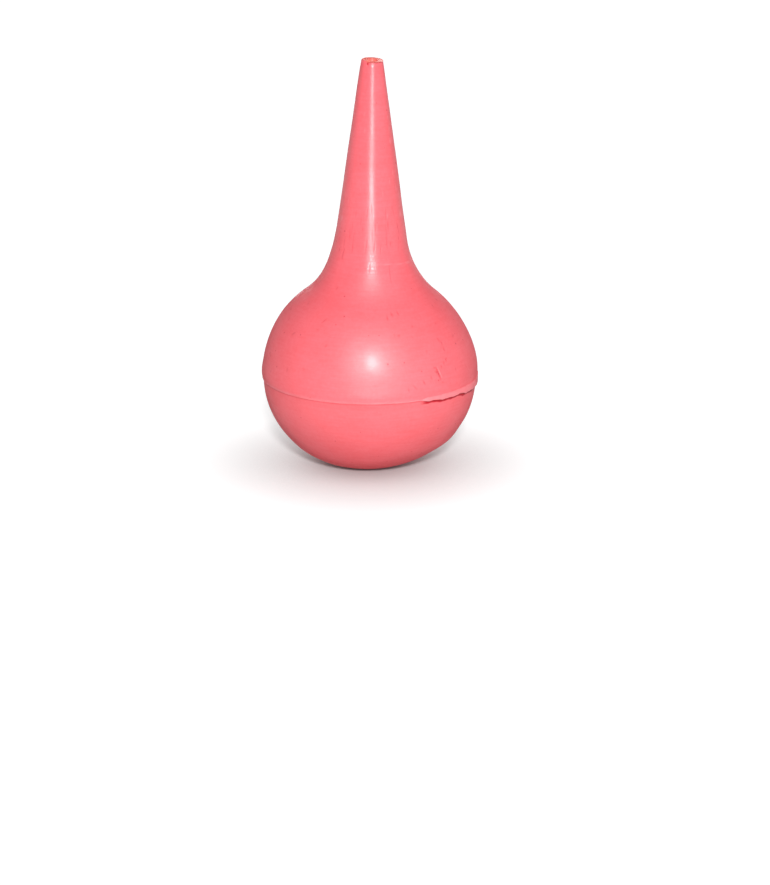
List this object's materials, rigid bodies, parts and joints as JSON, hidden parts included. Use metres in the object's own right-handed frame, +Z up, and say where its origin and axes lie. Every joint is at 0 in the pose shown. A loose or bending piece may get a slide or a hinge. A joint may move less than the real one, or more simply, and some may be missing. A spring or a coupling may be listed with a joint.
{
  "type": "pipette filler bulb",
  "caption": "Round soft rubber suction bulb with a long tapered nozzle on top and a small flat foot, squeezed to draw liquid into a pipette.",
  "frame": {"origin": "centre of the flat foot, on the surface that the bulb stands on", "axes": "+Z up along the bulb's axis, out through the nozzle; X and Y are free, because the bulb is round"},
  "size_m": [0.0626, 0.0626, 0.117],
  "materials": {
    "dome_rubber": "semi-matte moulded",
    "bowl_rubber": "semi-matte moulded",
    "flash_rubber": "matte torn edge"
  },
  "bodies": {
    "dome": {"upper_shell": "dome_rubber", "seam_flash": "flash_rubber"},
    "bowl": {"lower_shell": "bowl_rubber"}
  },
  "joints": [
    {"name": "squeeze", "type": "slide", "parent": "bowl", "child": "dome", "axis": [0, 0, -1], "range_m": [0, 0.016], "stiffness_N_per_m": 1500, "deforming": ["lower_shell"]}
  ]
}
